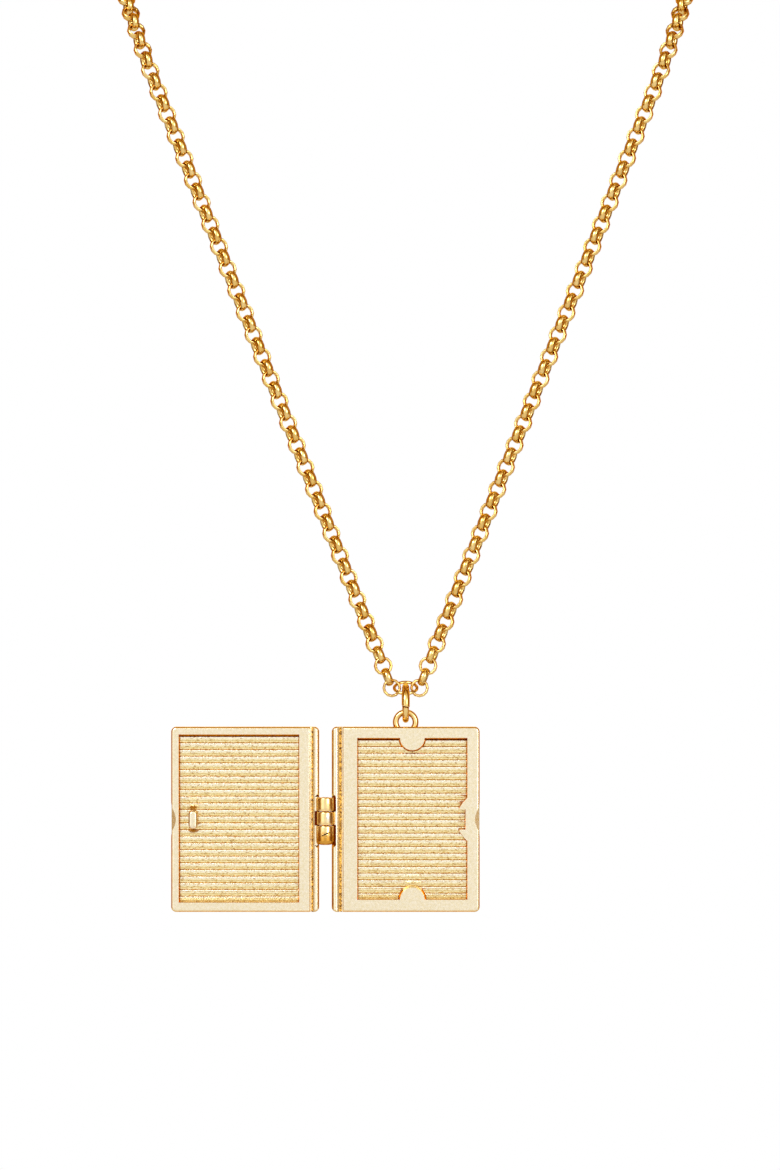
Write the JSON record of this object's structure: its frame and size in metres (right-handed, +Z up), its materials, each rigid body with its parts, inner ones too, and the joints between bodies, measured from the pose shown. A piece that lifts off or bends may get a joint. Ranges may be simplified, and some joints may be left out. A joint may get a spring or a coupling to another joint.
{
  "type": "book locket necklace",
  "caption": "Rectangular book locket with ribbed recesses, hinged at its spine and shown open flat, hanging from a round-link chain by a jump ring.",
  "frame": {"origin": "the middle of the clasp at the nape, where the necklace hangs", "axes": "+X to the right as seen from the front, +Y back through the neck, +Z up; the open locket faces -Y"},
  "size_m": [0.0962, 0.085, 0.1704],
  "materials": {
    "satin_gold": "gold-plated, satin",
    "polished_gold": "gold-plated, polished"
  },
  "bodies": {
    "necklace": {"chain": "polished_gold", "clasp": "polished_gold"},
    "ring": {"jump_ring": "polished_gold"},
    "back": {"back_half": "satin_gold"},
    "front": {"cover": "satin_gold", "hinge_pin": "polished_gold"}
  },
  "joints": [
    {"name": "jump_ring_swing", "type": "hinge", "parent": "necklace", "child": "ring", "pos_m": [0, -0.07978, -0.1336], "axis": [1, 0, 0], "range_deg": [-60, 30]},
    {"name": "locket_swing", "type": "hinge", "parent": "ring", "child": "back", "pos_m": [0, -0.07978, -0.13775], "axis": [0, 1, 0], "range_deg": [-45, 45]},
    {"name": "cover_hinge", "type": "hinge", "parent": "back", "child": "front", "pos_m": [-0.01275, -0.08118, -0.15358], "axis": [0, 0, 1], "range_deg": [0, 180]}
  ]
}
